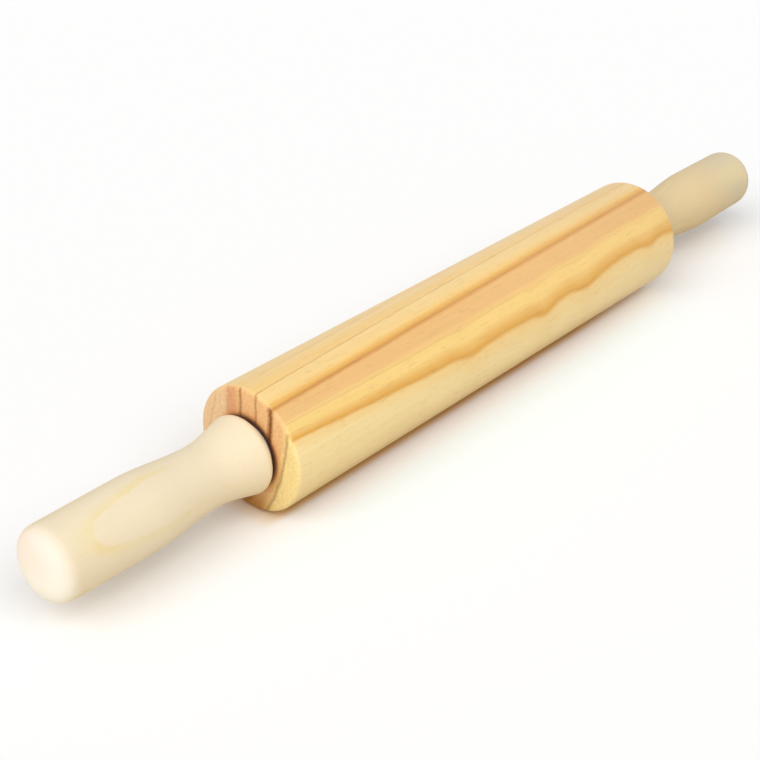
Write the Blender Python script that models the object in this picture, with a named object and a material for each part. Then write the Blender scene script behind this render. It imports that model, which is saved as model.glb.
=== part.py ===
"""Wooden rolling pin: a bored barrel that turns on a steel axle between two turned handles.

Metres, +Z up. The axle lies along X through the origin, which is the middle of the barrel.
The left handle is at -X and the right handle at +X. At rest the barrel lies on its lowest flat.
"""

import math

import bmesh
import bpy
from mathutils import Matrix

# Barrel
BARREL_LENGTH = 0.250
BARREL_RADIUS = 0.025
BARREL_EDGE_ROUND = 0.0016
BARREL_SIDES = 48

# Axle: a plain rod with a thinner screwed end, and a shoulder that stops each handle
ROD_RADIUS = 0.004
ROD_CHAMFER = 0.0004
ROD_SIDES = 20
STUD_RADIUS = 0.003
STUD_LENGTH = 0.013
STUD_CHAMFER = 0.0006

# Screw thread on the axle's ends and in the inserts, right-handed
THREAD_PITCH = 0.001
THREAD_DEPTH = 0.0006
CREST_SHARE = 0.125
FLANK_SHARE = 0.35
RUN_OUT_TURNS = 0.4
FIRST_RISE_SHARE = 0.2

# Flanged bearing bush let into each end of the barrel
BUSH_WALL = 0.0035
BUSH_LENGTH = 0.018
BUSH_CHAMFER = 0.0005
FLANGE_RADIUS = 0.0115
FLANGE_THICKNESS = 0.002

# Thrust washer between the bush and the handle's collar
WASHER_RADIUS = 0.0105
WASHER_THICKNESS = 0.001
WASHER_CHAMFER = 0.00015

# Barbed insert that holds the axle's screwed end in the handle
INSERT_WALL = 0.0022
INSERT_LENGTH = 0.016
INSERT_CHAMFER = 0.0004
INSERT_LIP_WIDTH = 0.0016
INSERT_LIP_THICKNESS = 0.0012
INSERT_SINK = 0.0005
BARB_COUNT = 5
BARB_DEPTH = 0.0004
BARB_MARGIN = 0.002

# Handle, measured from its collar's face to its domed end
HANDLE_LENGTH = 0.0935
HANDLE_SIDES = 40
COLLAR_RADIUS = 0.0154
COLLAR_ROUND = 0.0028
COLLAR_TAPER = -0.22
WAIST_RADIUS = 0.0120
WAIST_PLACE = 0.0212
GRIP_RADIUS = 0.0142
GRIP_PLACE = 0.0520
TAIL_RADIUS = 0.0140
DOME_LENGTH = 0.0085
DOME_POWER = 2.5
DRILL_POINT_DEPTH = 0.003
DRILL_RUN_OUT = 0.003

# Clearances
RUNNING_GAP = 0.0002
SEAT_GAP = 0.0003
ROD_HOLE_GAP = 0.001
END_PLAY = 0.00025
FLANGE_STAND = 0.0002

# How finely curves are cut
SMALL_SIDES = 32
ROUND_STEPS = 4
SWEEP_STEPS = 8
DOME_STEPS = 8
SHARP_ANGLE = math.radians(30)

# Places along the axle, counted outwards from the middle of the barrel
BARREL_END = BARREL_LENGTH / 2
FLANGE_FACE = BARREL_END + FLANGE_STAND
WASHER_FACE = FLANGE_FACE + END_PLAY
COLLAR_FACE = WASHER_FACE + WASHER_THICKNESS + END_PLAY
INSERT_FACE = COLLAR_FACE + INSERT_SINK
SHOULDER = INSERT_FACE - SEAT_GAP
INSERT_THREAD_START = INSERT_FACE + 2 * INSERT_CHAMFER
STUD_THREAD_START = INSERT_THREAD_START + THREAD_PITCH

# Fits
BUSH_BORE = ROD_RADIUS + RUNNING_GAP
BUSH_RADIUS = BUSH_BORE + BUSH_WALL
WASHER_BORE = ROD_RADIUS + RUNNING_GAP
STUD_CORE = STUD_RADIUS - THREAD_DEPTH
INSERT_BORE = STUD_CORE + SEAT_GAP
INSERT_RADIUS = STUD_RADIUS + SEAT_GAP + INSERT_WALL
LIP_RADIUS = INSERT_RADIUS + INSERT_LIP_WIDTH


def clear_scene():
    for obj in list(bpy.data.objects):
        bpy.data.objects.remove(obj, do_unlink=True)


def make_material(name, colour, roughness, metallic):
    material = bpy.data.materials.new(name)
    material.use_nodes = True
    shader = material.node_tree.nodes["Principled BSDF"]
    shader.inputs["Base Color"].default_value = (*colour, 1.0)
    shader.inputs["Roughness"].default_value = roughness
    shader.inputs["Metallic"].default_value = metallic
    material.diffuse_color = (*colour, 1.0)
    return material


def barrel_wood():
    return make_material("golden_pine", (0.84, 0.58, 0.27), 0.55, 0.0)


def handle_wood():
    return make_material("pale_wood", (0.88, 0.77, 0.58), 0.6, 0.0)


def rod_steel():
    return make_material("turned_steel", (0.62, 0.62, 0.63), 0.3, 1.0)


def bush_nylon():
    return make_material("white_nylon", (0.85, 0.84, 0.80), 0.45, 0.0)


def insert_brass():
    return make_material("brass", (0.72, 0.53, 0.22), 0.35, 1.0)


def arc(centre, radius, start, end, steps):
    """Points of a round from one angle to the other: 0 points along +X, and 90 degrees out from the axle."""
    angles = [start + (end - start) * step / steps for step in range(steps + 1)]
    return [
        (centre[0] + radius * math.cos(angle), centre[1] + radius * math.sin(angle))
        for angle in angles
    ]


def sweep(start, start_slope, end, end_slope, steps):
    """Points of a smooth curve that leaves and arrives with the given slopes, its first point left out."""
    length = end[0] - start[0]
    points = []
    for step in range(1, steps + 1):
        t = step / steps
        rise_start = t**3 - 2 * t**2 + t
        rise_end = t**3 - t**2
        blend = 3 * t**2 - 2 * t**3
        radius = start[1] + (end[1] - start[1]) * blend
        radius += length * (start_slope * rise_start + end_slope * rise_end)
        points.append((start[0] + length * t, radius))
    return points


def dome(start, length, power, steps):
    """Points of a blunt dome that ends on the axis, its first point left out."""
    points = []
    for step in range(1, steps):
        angle = math.pi / 2 * step / steps
        reach = math.sin(angle) ** (2 / power)
        height = math.cos(angle) ** (2 / power)
        points.append((start[0] + length * reach, start[1] * height))
    return points + [(start[0] + length, 0.0)]


def ring(shape, x, radius, sides):
    """Corners of a section across the axle, a flat side facing down, or one point where the radius is 0."""
    if radius == 0:
        return [shape.verts.new((x, 0, 0))]
    angles = [2 * math.pi * (side + 0.5) / sides for side in range(sides)]
    return [shape.verts.new((x, radius * math.sin(a), -radius * math.cos(a))) for a in angles]


def bridge(shape, first, last):
    """Skin between two sections, or between a section and a point on the axis."""
    sides = max(len(first), len(last))
    for side in range(sides):
        corners = [first[side % len(first)], first[(side + 1) % len(first)]]
        corners += [last[(side + 1) % len(last)], last[side % len(last)]]
        shape.faces.new(list(dict.fromkeys(corners)))


def thread_height(progress, turns, depth):
    """Height of the thread after so many turns: it rises out of the core and sinks into it again."""
    end = min(progress, turns - progress) / RUN_OUT_TURNS
    return depth * min(1.0, max(FIRST_RISE_SHARE, end))


def cut_thread(shape, first, last, start, depth):
    """Threaded skin between two sections of one core radius.

    A ridge climbs round the core with four rows of corners in each turn: foot, two sides of the crest
    and foot. Plain skin joins its two ends to the sections."""
    if first[0].co.x > last[0].co.x:
        first, last = last, first
    sides = len(first)
    core = math.hypot(first[0].co.y, first[0].co.z)
    turns = int((last[0].co.x - start) / THREAD_PITCH) - 1
    rows = 4 * turns
    shares = (0.0, FLANK_SHARE, FLANK_SHARE + CREST_SHARE, 2 * FLANK_SHARE + CREST_SHARE)
    corners = {}

    def corner(row, side):
        if side == sides and row + 4 <= rows:
            row, side = row + 4, 0
        if (row, side) not in corners:
            x = start + THREAD_PITCH * (row // 4 + shares[row % 4] + side / sides)
            on_crest = row % 4 in (1, 2)
            height = thread_height(row // 4 + side / sides, turns, depth) if on_crest else 0.0
            angle = 2 * math.pi * (side + 0.5) / sides
            out = core + height
            corners[row, side] = shape.verts.new((x, out * math.sin(angle), -out * math.cos(angle)))
        return corners[row, side]

    def fan(hub, rim):
        for pair in zip(rim, rim[1:]):
            shape.faces.new((hub, *pair))

    for row in range(rows):
        for side in range(sides):
            near = (corner(row, side), corner(row, side + 1))
            far = (corner(row + 1, side + 1), corner(row + 1, side))
            shape.faces.new(near + far)
    for side in range(sides - 1):
        shape.faces.new((first[side], first[side + 1], corner(0, side + 1), corner(0, side)))
        before, after = side + 1, (side + 2) % sides
        outer = (last[after], last[before])
        shape.faces.new((corner(rows, before), corner(rows, before + 1)) + outer)
    fan(corner(0, sides - 1), (first[-1], first[0], corner(0, 0), corner(3, 0), corner(4, 0)))
    end_rows = (corner(rows, sides), corner(rows - 1, sides), corner(rows, 0))
    fan(corner(rows, 1), (last[1], last[0], *end_rows))
    shape.faces.new([corner(row, 0) for row in range(4)])
    shape.faces.new([corner(row, sides) for row in range(rows - 4, rows)])


def turned_mesh(name, profile, sides, closed=False, threads=None, doubled=False):
    """Mesh made by turning a profile of (along X, out from X) about the X axis.

    threads gives, for the stretch that starts at a point of the profile, where its thread starts and
    how far it stands out of the core. A doubled profile is half of a piece, joined at x = 0 to its copy
    turned end for end."""
    shape = bmesh.new()
    rings = [ring(shape, x, radius, sides) for x, radius in profile]
    pairs = list(zip(rings, rings[1:]))
    if closed:
        pairs.append((rings[-1], rings[0]))
    for index, (first, last) in enumerate(pairs):
        if threads and index in threads:
            cut_thread(shape, first, last, *threads[index])
        else:
            bridge(shape, first, last)
    if doubled:
        half = shape.verts[:] + shape.edges[:] + shape.faces[:]
        copied = bmesh.ops.duplicate(shape, geom=half)["geom"]
        turned = [item for item in copied if isinstance(item, bmesh.types.BMVert)]
        bmesh.ops.rotate(shape, verts=turned, matrix=Matrix.Rotation(math.pi, 3, "Z"))
        bmesh.ops.remove_doubles(shape, verts=shape.verts, dist=1e-6)
    bmesh.ops.recalc_face_normals(shape, faces=shape.faces)
    mesh = bpy.data.meshes.new(name)
    shape.to_mesh(mesh)
    shape.free()
    mesh.shade_smooth()
    mesh.set_sharp_from_angle(angle=SHARP_ANGLE)
    return mesh


def barrel_profile():
    """The closed outline of half a section: outside, end faces, bush seats and the hole for the rod."""
    hole = ROD_RADIUS + ROD_HOLE_GAP
    seat = BUSH_RADIUS + SEAT_GAP
    recess = FLANGE_RADIUS + SEAT_GAP
    recess_floor = FLANGE_FACE - FLANGE_THICKNESS - SEAT_GAP
    seat_floor = FLANGE_FACE - BUSH_LENGTH - SEAT_GAP
    centre = (BARREL_END - BARREL_EDGE_ROUND, BARREL_RADIUS - BARREL_EDGE_ROUND)
    outer = arc(centre, BARREL_EDGE_ROUND, math.pi / 2, 0, ROUND_STEPS)
    inner = [
        (BARREL_END, recess),
        (recess_floor, recess),
        (recess_floor, seat),
        (seat_floor, seat),
        (seat_floor, hole),
    ]
    half = outer + inner
    mirrored = [(-x, r) for x, r in reversed(half)]
    return half + mirrored


def rod_profile():
    """Half of the axle, from the middle of the barrel: plain rod, shoulder and thinner stud."""
    tip = SHOULDER + STUD_LENGTH
    return [
        (0.0, ROD_RADIUS),
        (SHOULDER - ROD_CHAMFER, ROD_RADIUS),
        (SHOULDER, ROD_RADIUS - ROD_CHAMFER),
        (SHOULDER, STUD_CORE),
        (tip - STUD_CHAMFER, STUD_CORE),
        (tip, STUD_CORE - STUD_CHAMFER),
        (tip, 0.0),
    ]


def bush_profile():
    """Sleeve with a flange, measured inwards from the flange's outer face at zero."""
    return [
        (0.0, BUSH_BORE + BUSH_CHAMFER),
        (0.0, FLANGE_RADIUS - BUSH_CHAMFER),
        (-BUSH_CHAMFER, FLANGE_RADIUS),
        (-FLANGE_THICKNESS, FLANGE_RADIUS),
        (-FLANGE_THICKNESS, BUSH_RADIUS),
        (-BUSH_LENGTH + BUSH_CHAMFER, BUSH_RADIUS),
        (-BUSH_LENGTH, BUSH_RADIUS - BUSH_CHAMFER),
        (-BUSH_LENGTH, BUSH_BORE),
        (-BUSH_CHAMFER, BUSH_BORE),
    ]


def washer_profile():
    """Flat ring with its outer corners broken, from zero outwards."""
    return [
        (0.0, WASHER_BORE),
        (0.0, WASHER_RADIUS - WASHER_CHAMFER),
        (WASHER_CHAMFER, WASHER_RADIUS),
        (WASHER_THICKNESS - WASHER_CHAMFER, WASHER_RADIUS),
        (WASHER_THICKNESS, WASHER_RADIUS - WASHER_CHAMFER),
        (WASHER_THICKNESS, WASHER_BORE),
    ]


def insert_profile():
    """Sleeve with a lip and a row of barbs that slope towards the handle's end."""
    first = INSERT_LIP_THICKNESS + BARB_MARGIN
    last = INSERT_LENGTH - BARB_MARGIN
    pitch = (last - first) / BARB_COUNT
    valley = INSERT_RADIUS - BARB_DEPTH
    points = [
        (INSERT_CHAMFER, INSERT_BORE),
        (0.0, INSERT_BORE + INSERT_CHAMFER),
        (0.0, LIP_RADIUS),
        (INSERT_LIP_THICKNESS, LIP_RADIUS),
        (INSERT_LIP_THICKNESS, valley),
        (first, valley),
    ]
    for barb in range(BARB_COUNT):
        points.append((first + barb * pitch, INSERT_RADIUS))
        points.append((first + (barb + 1) * pitch, valley))
    points.append((INSERT_LENGTH, valley))
    points.append((INSERT_LENGTH, INSERT_BORE))
    return points


def handle_outline():
    """The turned outside of a handle, from its collar's face at zero to its domed end."""
    lean = math.atan(-COLLAR_TAPER)
    centre = (COLLAR_ROUND, COLLAR_RADIUS - COLLAR_ROUND)
    points = arc(centre, COLLAR_ROUND, math.pi, math.pi / 2 - lean, ROUND_STEPS + 2)
    waist = (WAIST_PLACE, WAIST_RADIUS)
    grip = (GRIP_PLACE, GRIP_RADIUS)
    tail = (HANDLE_LENGTH - DOME_LENGTH, TAIL_RADIUS)
    points += sweep(points[-1], COLLAR_TAPER, waist, 0.0, SWEEP_STEPS)
    points += sweep(waist, 0.0, grip, 0.0, SWEEP_STEPS)
    points += sweep(grip, 0.0, tail, 0.0, SWEEP_STEPS)
    points += dome(tail, DOME_LENGTH, DOME_POWER, DOME_STEPS)
    return points


def handle_profile():
    """A handle's whole section: drilled hole, seat of the insert's lip, collar and outside."""
    hole = INSERT_RADIUS + SEAT_GAP
    recess = LIP_RADIUS + SEAT_GAP
    lip_seat = INSERT_SINK + INSERT_LIP_THICKNESS + SEAT_GAP
    hole_end = INSERT_SINK + max(INSERT_LENGTH, STUD_LENGTH) + DRILL_RUN_OUT
    bore = [
        (hole_end + DRILL_POINT_DEPTH, 0.0),
        (hole_end, hole),
        (lip_seat, hole),
        (lip_seat, recess),
        (0.0, recess),
    ]
    return bore + handle_outline()


def place(name, mesh, material, axis, x, turned):
    """Object on the axle at x, its outward direction turned to -X for a left-hand piece."""
    if not mesh.materials:
        mesh.materials.append(material)
    obj = bpy.data.objects.new(name, mesh)
    bpy.context.scene.collection.objects.link(obj)
    obj.parent = axis
    obj.location = (-x if turned else x, 0, 0)
    obj.rotation_euler = (0, 0, math.pi if turned else 0)
    return obj


def make_axis(name):
    axis = bpy.data.objects.new(name, None)
    axis.empty_display_size = BARREL_RADIUS
    bpy.context.scene.collection.objects.link(axis)
    return axis


def make_pair(piece, mesh, material, axis, x):
    """The left-hand and the right-hand copy of a piece that each end of the pin has."""
    place(f"left_{piece}", mesh, material, axis, x, True)
    place(f"right_{piece}", mesh, material, axis, x, False)


def build_barrel(axis):
    mesh = turned_mesh("barrel", barrel_profile(), BARREL_SIDES, closed=True)
    place("barrel", mesh, barrel_wood(), axis, 0.0, False)
    bush = turned_mesh("bush", bush_profile(), SMALL_SIDES, closed=True)
    make_pair("bush", bush, bush_nylon(), axis, FLANGE_FACE)


def build_axle(axis):
    threads = {3: (STUD_THREAD_START, THREAD_DEPTH)}
    rod = turned_mesh("axle_rod", rod_profile(), ROD_SIDES, threads=threads, doubled=True)
    place("axle_rod", rod, rod_steel(), axis, 0.0, False)
    washer = turned_mesh("washer", washer_profile(), SMALL_SIDES, closed=True)
    make_pair("washer", washer, rod_steel(), axis, WASHER_FACE)


def build_handles(axis):
    profile = insert_profile()
    threads = {len(profile) - 1: (INSERT_THREAD_START - INSERT_FACE, THREAD_DEPTH)}
    insert = turned_mesh("insert", profile, ROD_SIDES, closed=True, threads=threads)
    make_pair("insert", insert, insert_brass(), axis, INSERT_FACE)
    handle = turned_mesh("handle", handle_profile(), HANDLE_SIDES)
    make_pair("handle", handle, handle_wood(), axis, COLLAR_FACE)


def main():
    clear_scene()
    build_barrel(make_axis("barrel_axis"))
    handle_axis = make_axis("handle_axis")
    build_axle(handle_axis)
    build_handles(handle_axis)


main()
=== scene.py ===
"""Rolling pin, dressed: a golden pine barrel that turns between two pale wooden handles.

Metres, +Z up, with the axle along X through the origin. The pin lies on a plain pale floor."""

import inspect
import math

import bmesh
import bpy
from mathutils import Matrix, Vector


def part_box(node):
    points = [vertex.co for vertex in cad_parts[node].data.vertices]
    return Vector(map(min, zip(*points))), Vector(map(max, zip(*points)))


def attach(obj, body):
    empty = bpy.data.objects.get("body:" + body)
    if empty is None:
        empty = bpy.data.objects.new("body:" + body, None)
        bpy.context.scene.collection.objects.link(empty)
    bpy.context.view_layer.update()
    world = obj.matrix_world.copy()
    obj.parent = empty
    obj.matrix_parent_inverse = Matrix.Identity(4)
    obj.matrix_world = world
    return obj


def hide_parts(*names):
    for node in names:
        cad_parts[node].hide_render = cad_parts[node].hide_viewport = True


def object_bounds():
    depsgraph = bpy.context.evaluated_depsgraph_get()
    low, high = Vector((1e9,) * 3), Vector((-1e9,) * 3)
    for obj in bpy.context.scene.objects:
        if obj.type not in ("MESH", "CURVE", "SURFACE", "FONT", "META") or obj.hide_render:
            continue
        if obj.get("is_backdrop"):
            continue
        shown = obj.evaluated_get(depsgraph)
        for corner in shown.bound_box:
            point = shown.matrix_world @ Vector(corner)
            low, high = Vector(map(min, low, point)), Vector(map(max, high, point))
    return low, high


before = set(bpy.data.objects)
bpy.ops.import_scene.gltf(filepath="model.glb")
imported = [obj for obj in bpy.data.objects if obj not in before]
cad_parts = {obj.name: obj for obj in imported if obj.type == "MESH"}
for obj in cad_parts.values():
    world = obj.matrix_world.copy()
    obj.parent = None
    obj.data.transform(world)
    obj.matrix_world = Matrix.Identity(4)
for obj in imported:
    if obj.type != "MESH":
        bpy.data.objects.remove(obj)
cad_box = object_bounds()

bl_info = {
    "name": "Rolling Pin",
    "version": (1, 0, 0),
    "blender": (4, 5, 0),
    "location": "3D View > Sidebar > Rolling Pin",
    "description": "Makes a wooden rolling pin with turned handles, its axle and its bearings",
    "category": "Add Mesh",
}

# Places along the axle and small fits, as the solids have them
END_PLAY = 0.00025
FLANGE_STAND = 0.0002
SEAT_GAP = 0.0003
RUNNING_GAP = 0.0002
ROD_HOLE_GAP = 0.001
INSERT_SINK = 0.0005
HOLE_SPARE = 0.003
DRILL_POINT = 0.003

# Thread: the shares of its pitch that a crest and a flank take, and the turns in which it fades;
# then the share of a washer's chamfer at which its rounded corner has its middle point
CREST_SHARE = 0.125
FLANK_SHARE = 0.35
RUN_OUT_TURNS = 0.4
CORNER_LEFT = 0.3

# Meshes: the gap that is closed, and the angle from which an edge is sharp
WELDED_GAP = 1e-6
SHARP_ANGLE = math.radians(32)

# Steps in the lines and curves of the sections
BARREL_STEPS, BARREL_EDGE_STEPS, BARREL_FACE_STEPS = 24, 10, 6
COLLAR_FACE_STEPS, COLLAR_EDGE_STEPS = 4, 16
WAIST_STEPS, GRIP_STEPS, DOME_STEPS = 24, 28, 30
ROD_STEPS, FLANGE_EDGE_STEPS = 12, 6

# Stage: the camera's frame and nearest distance, the floor's sides and the colour of the lamps
FRAME_WIDTH = 36.0
NEAREST_SEEN = 0.01
FLOOR_SIDES = 96
LAMP_WHITE = (1.0, 0.998, 0.994)

# Where a Mix node has its two colours and its result
MIX_COLOURS = 6, 7
MIX_RESULT = 2


def shade(red, green, blue):
    """A colour as it shows on a screen, 0 to 255, turned into the light it stands for."""
    parts = [value / 255 for value in (red, green, blue)]
    return tuple(p / 12.92 if p <= 0.04045 else ((p + 0.055) / 1.055) ** 2.4 for p in parts)


def setting(kind, **options):
    """A function that makes settings of one kind from a name, a description and a default."""

    def make(name, description, default):
        return kind(name=name, description=description, default=default, **options)

    return make


size = setting(bpy.props.FloatProperty, min=0.0, precision=5, subtype="DISTANCE", unit="LENGTH")
tint = setting(bpy.props.FloatVectorProperty, min=0.0, max=1.0, subtype="COLOR")
count = setting(bpy.props.IntProperty, min=3)
amount = setting(bpy.props.FloatProperty, precision=4)
direction = setting(bpy.props.FloatVectorProperty, subtype="DIRECTION")
angle = setting(bpy.props.FloatProperty, subtype="ANGLE")


def part(kind, name, description):
    """A group of settings inside the pin's settings."""
    return bpy.props.PointerProperty(type=kind, name=name, description=description)


class BarrelSettings(bpy.types.PropertyGroup):
    length: size("Length", "Length of the barrel between its end faces", 2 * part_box("barrel")[1][0])
    radius: size("Radius", "Radius that rests on the floor", -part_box("barrel")[0][2])
    edge_round: size("Edge round", "Radius of the eased edge at each end", 0.0016)
    sides: count("Sides", "Number of faces round the barrel", 192)
    sapwood: tint("Sapwood", "Outermost, palest wood", shade(252, 230, 170))
    earlywood: tint("Earlywood", "Pale wood of a growth ring", shade(247, 214, 146))
    gold: tint("Gold", "Golden wood before a ring's edge", shade(246, 207, 130))
    yellow: tint("Yellow", "Bright yellow wood inside the last ring's edge", shade(248, 213, 134))
    honey: tint("Honey", "Deep colour at a ring's edge", shade(236, 184, 94))
    heart: tint("Heart", "Tan wood", shade(236, 190, 124))
    amber: tint("Amber", "Orange latewood", shade(222, 160, 80))
    saffron: tint("Saffron", "Golden latewood of the last ring", shade(228, 172, 74))
    umber: tint("Umber", "Dark line at a ring's edge", shade(140, 82, 36))
    russet: tint("Russet", "Dark line at a ring's edge on the end faces", shade(140, 80, 0))
    end_wood: tint("End wood", "Wood on the end faces", shade(242, 195, 138))
    inner_wood: tint("Inner wood", "Paler wood near the pith on the ends", shade(243, 208, 162))
    blush: tint("Blush", "Pinkish wood on the end faces", shade(230, 170, 122))
    rim_wood: tint("Rim wood", "Palest wood on the end faces", shade(250, 228, 158))
    # Painted shade: a darker, golden colour low on the end faces stands for the shade that falls
    # there
    resin: tint("Resin", "Resin-soaked wood low on the end faces", shade(186, 124, 30))
    # Painted shade: the dark ring round each collar on the end faces stands for the shadow in the gap
    # beside the handle
    oiled: tint("Oiled", "Wood darkened by oil beside the axle", shade(62, 16, 0))


class HandleSettings(bpy.types.PropertyGroup):
    length: size("Length", "Length from the collar's face to the domed end", 0.0935)
    sides: count("Sides", "Number of faces round a handle", 144)
    collar_radius: size("Collar radius", "Radius of the collar beside the barrel", 0.0154)
    collar_round: size("Collar round", "Radius of the collar's edge", 0.0028)
    collar_taper: amount("Collar taper", "Slope of the outside where it leaves the collar", -0.22)
    waist_radius: size("Waist radius", "Radius of the narrowest place", 0.0120)
    waist_place: size("Waist place", "Distance of the waist from the collar's face", 0.0212)
    grip_radius: size("Grip radius", "Radius of the widest place of the grip", 0.0142)
    grip_place: size("Grip place", "Distance of that place from the collar's face", 0.0520)
    tail_radius: size("Tail radius", "Radius where the dome starts", 0.0140)
    dome_length: size("Dome length", "Length of the domed end", 0.0085)
    dome_power: amount("Dome power", "Bluntness of the dome, 2 for a plain ellipse", 2.5)
    cream: tint("Cream", "Pale wood", shade(241, 226, 195))
    # Painted light and shade: the near dome's paler end grain is darker at its top and lighter low
    # down, against the light that falls on it
    end_cream: tint("End cream", "Paler wood on the near domed end", shade(248, 231, 216))
    low_cream: tint("Low cream", "Palest wood, low on that end", shade(252, 248, 234))
    far_end: tint("Far end", "Greyer wood towards the right handle's dome", shade(215, 200, 168))
    straw: tint("Straw", "Faint golden edge of a growth ring", shade(240, 218, 148))
    far_cream: tint("Far cream", "Pale wood of the right handle", shade(221, 199, 156))


class AxleSettings(bpy.types.PropertyGroup):
    rod_radius: size("Rod radius", "Radius of the plain rod", 0.004)
    rod_chamfer: size("Rod chamfer", "Width of the shoulder's chamfer", 0.0004)
    stud_radius: size("Stud radius", "Outer radius of the screwed end", 0.003)
    stud_length: size("Stud length", "Length of the screwed end", 0.013)
    stud_chamfer: size("Stud chamfer", "Width of the chamfer at the tip", 0.0006)
    thread_pitch: size("Thread pitch", "Distance between turns of the thread", 0.001)
    thread_depth: size("Thread depth", "Height of the thread above its core", 0.0006)
    thread_steps: count("Thread steps", "Rows of points in each turn of the thread", 12)
    sides: count("Sides", "Number of faces round the rod", 56)
    washer_radius: size("Washer radius", "Outer radius of a thrust washer", 0.0105)
    washer_thickness: size("Washer thickness", "Thickness of a thrust washer", 0.001)
    washer_chamfer: size("Washer chamfer", "Broken corner of a thrust washer", 0.00015)
    steel: tint("Steel", "Colour of the turned steel", (0.60, 0.60, 0.61))


class BushSettings(bpy.types.PropertyGroup):
    wall: size("Wall", "Thickness of the sleeve", 0.0035)
    length: size("Length", "Length with the flange", 0.018)
    chamfer: size("Chamfer", "Broken corners", 0.0005)
    flange_radius: size("Flange radius", "Radius of the flange", 0.0115)
    flange_thickness: size("Flange thickness", "Thickness of the flange", 0.002)
    sides: count("Sides", "Number of faces round a bush", 96)
    nylon: tint("Nylon", "Colour of the moulded nylon", (0.83, 0.82, 0.77))


class InsertSettings(bpy.types.PropertyGroup):
    wall: size("Wall", "Thickness over the thread", 0.0022)
    length: size("Length", "Length with the lip", 0.016)
    chamfer: size("Chamfer", "Width of the lead-in at the mouth", 0.0004)
    lip_width: size("Lip width", "How far the lip stands out", 0.0016)
    lip_thickness: size("Lip thickness", "Thickness of the lip", 0.0012)
    barb_depth: size("Barb depth", "Height of a barb", 0.0004)
    barb_margin: size("Barb margin", "Plain length beside the barbs", 0.002)
    barbs: count("Barbs", "Number of barbs", 5)
    sides: count("Sides", "Number of faces round an insert", 56)
    brass: tint("Brass", "Colour of the brass", (0.71, 0.50, 0.20))


class StageSettings(bpy.types.PropertyGroup):
    turn_round: angle("Turn", "Direction of the camera round the pin", math.radians(-48.835))
    lift: angle("Lift", "Height of the camera above the pin", math.radians(30.189))
    distance: size("Distance", "Distance from the camera to the point it looks at", 0.55846)
    look_along: amount("Look along", "Place along the axle that the camera looks at", -0.0564)
    look_across: amount("Look across", "Place across the axle that the camera looks at", -0.0026)
    lens: amount("Lens", "Focal length in millimetres on a 36 mm frame", 68.02)
    floor_radius: size("Floor radius", "Radius of the floor", 4.0)
    floor: tint("Floor", "Colour of the light that the floor throws back", (0.80, 0.74, 0.64))
    # Painted shade: under the barrel the floor throws back dark brown light, which darkens the
    # barrel's underside
    shaded: tint("Shaded", "Light that the floor throws back under the barrel", (0.45, 0.25, 0.06))
    # Painted shadow: a wood-coloured shade on the floor where the barrel rests, seen by the camera
    contact: tint("Contact", "Wood-coloured shade where the barrel rests", (0.85, 0.55, 0.20))
    # Painted tint: the floor is cooler where the barrel's warm light falls, against that light
    cool: tint("Cool", "Floor that the barrel's warm light falls on", (0.925, 0.985, 1.0))
    sky: amount("Sky", "Strength of the even light from all round", 0.42)
    key: amount("Key", "Strength of the soft lamp beside the left end", 1.8)
    key_from: direction("Key from", "Where the soft lamp stands", (-0.72, -0.15, 0.68))
    key_spread: angle("Key spread", "Width of the soft lamp seen from the pin", math.radians(60))
    fill: amount("Fill", "Strength of the soft lamp above the front", 0.82)
    fill_from: direction("Fill from", "Where the front lamp stands", (-0.10, -0.66, 0.74))
    fill_spread: angle("Fill spread", "Width of the front lamp seen from the pin", math.radians(40))


class PinSettings(bpy.types.PropertyGroup):
    barrel: part(BarrelSettings, "Barrel", "The barrel")
    handles: part(HandleSettings, "Handles", "The handles")
    axle: part(AxleSettings, "Axle", "Rod and washers")
    bushes: part(BushSettings, "Bushes", "The bushes")
    inserts: part(InsertSettings, "Inserts", "The inserts")
    stage: part(StageSettings, "Stage", "Floor, light and camera")


# Node trees


class Number:
    """A number in a node tree, which takes sums like any number and makes a Math node for each."""

    def __init__(self, socket):
        self.socket = socket
        self.tree = socket.id_data

    def math(self, operation, *others):
        """This number and others, through a Math node."""
        node = self.tree.nodes.new("ShaderNodeMath")
        node.operation = operation
        return fill(node, self, *others)

    def __add__(self, other):
        return self.math("ADD", other)

    def __sub__(self, other):
        return self.math("SUBTRACT", other)

    def __mul__(self, other):
        return self.math("MULTIPLY", other)

    def __truediv__(self, other):
        return self.math("DIVIDE", other)

    def smooth(self, low, high, to_low=0.0, to_high=1.0):
        """Smooth change from to_low, below low, to to_high, above high."""
        node = self.tree.nodes.new("ShaderNodeMapRange")
        node.interpolation_type = "SMOOTHSTEP"
        return fill(node, self, low, high, to_low, to_high)

    def between(self, low, high):
        """Even change from low, where this number is 0, to high, where it is 1."""
        return self * (high - low) + low


def connect(value, slot):
    """Link a number or an output to an input, or set the input to a plain value."""
    if isinstance(value, Number):
        value = value.socket
    if isinstance(value, bpy.types.NodeSocket):
        slot.id_data.links.new(value, slot)
    else:
        slot.default_value = value


def fill(node, *values):
    """Connect values to a node's inputs in their order, and give its first output as a number."""
    for value, slot in zip(values, node.inputs):
        connect(value, slot)
    return Number(node.outputs[0])


def label(word):
    """A socket's name, from the word that stands for it in this script."""
    return word.replace("_", " ").title().replace("Ior", "IOR")


def link(node, **values):
    """Connect values to a node's inputs by their names."""
    for word, value in values.items():
        connect(value, node.inputs[label(word)])
    return node


def add(tree, kind, **values):
    """A new node with values connected to its inputs."""
    return link(tree.nodes.new(kind), **values)


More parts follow.
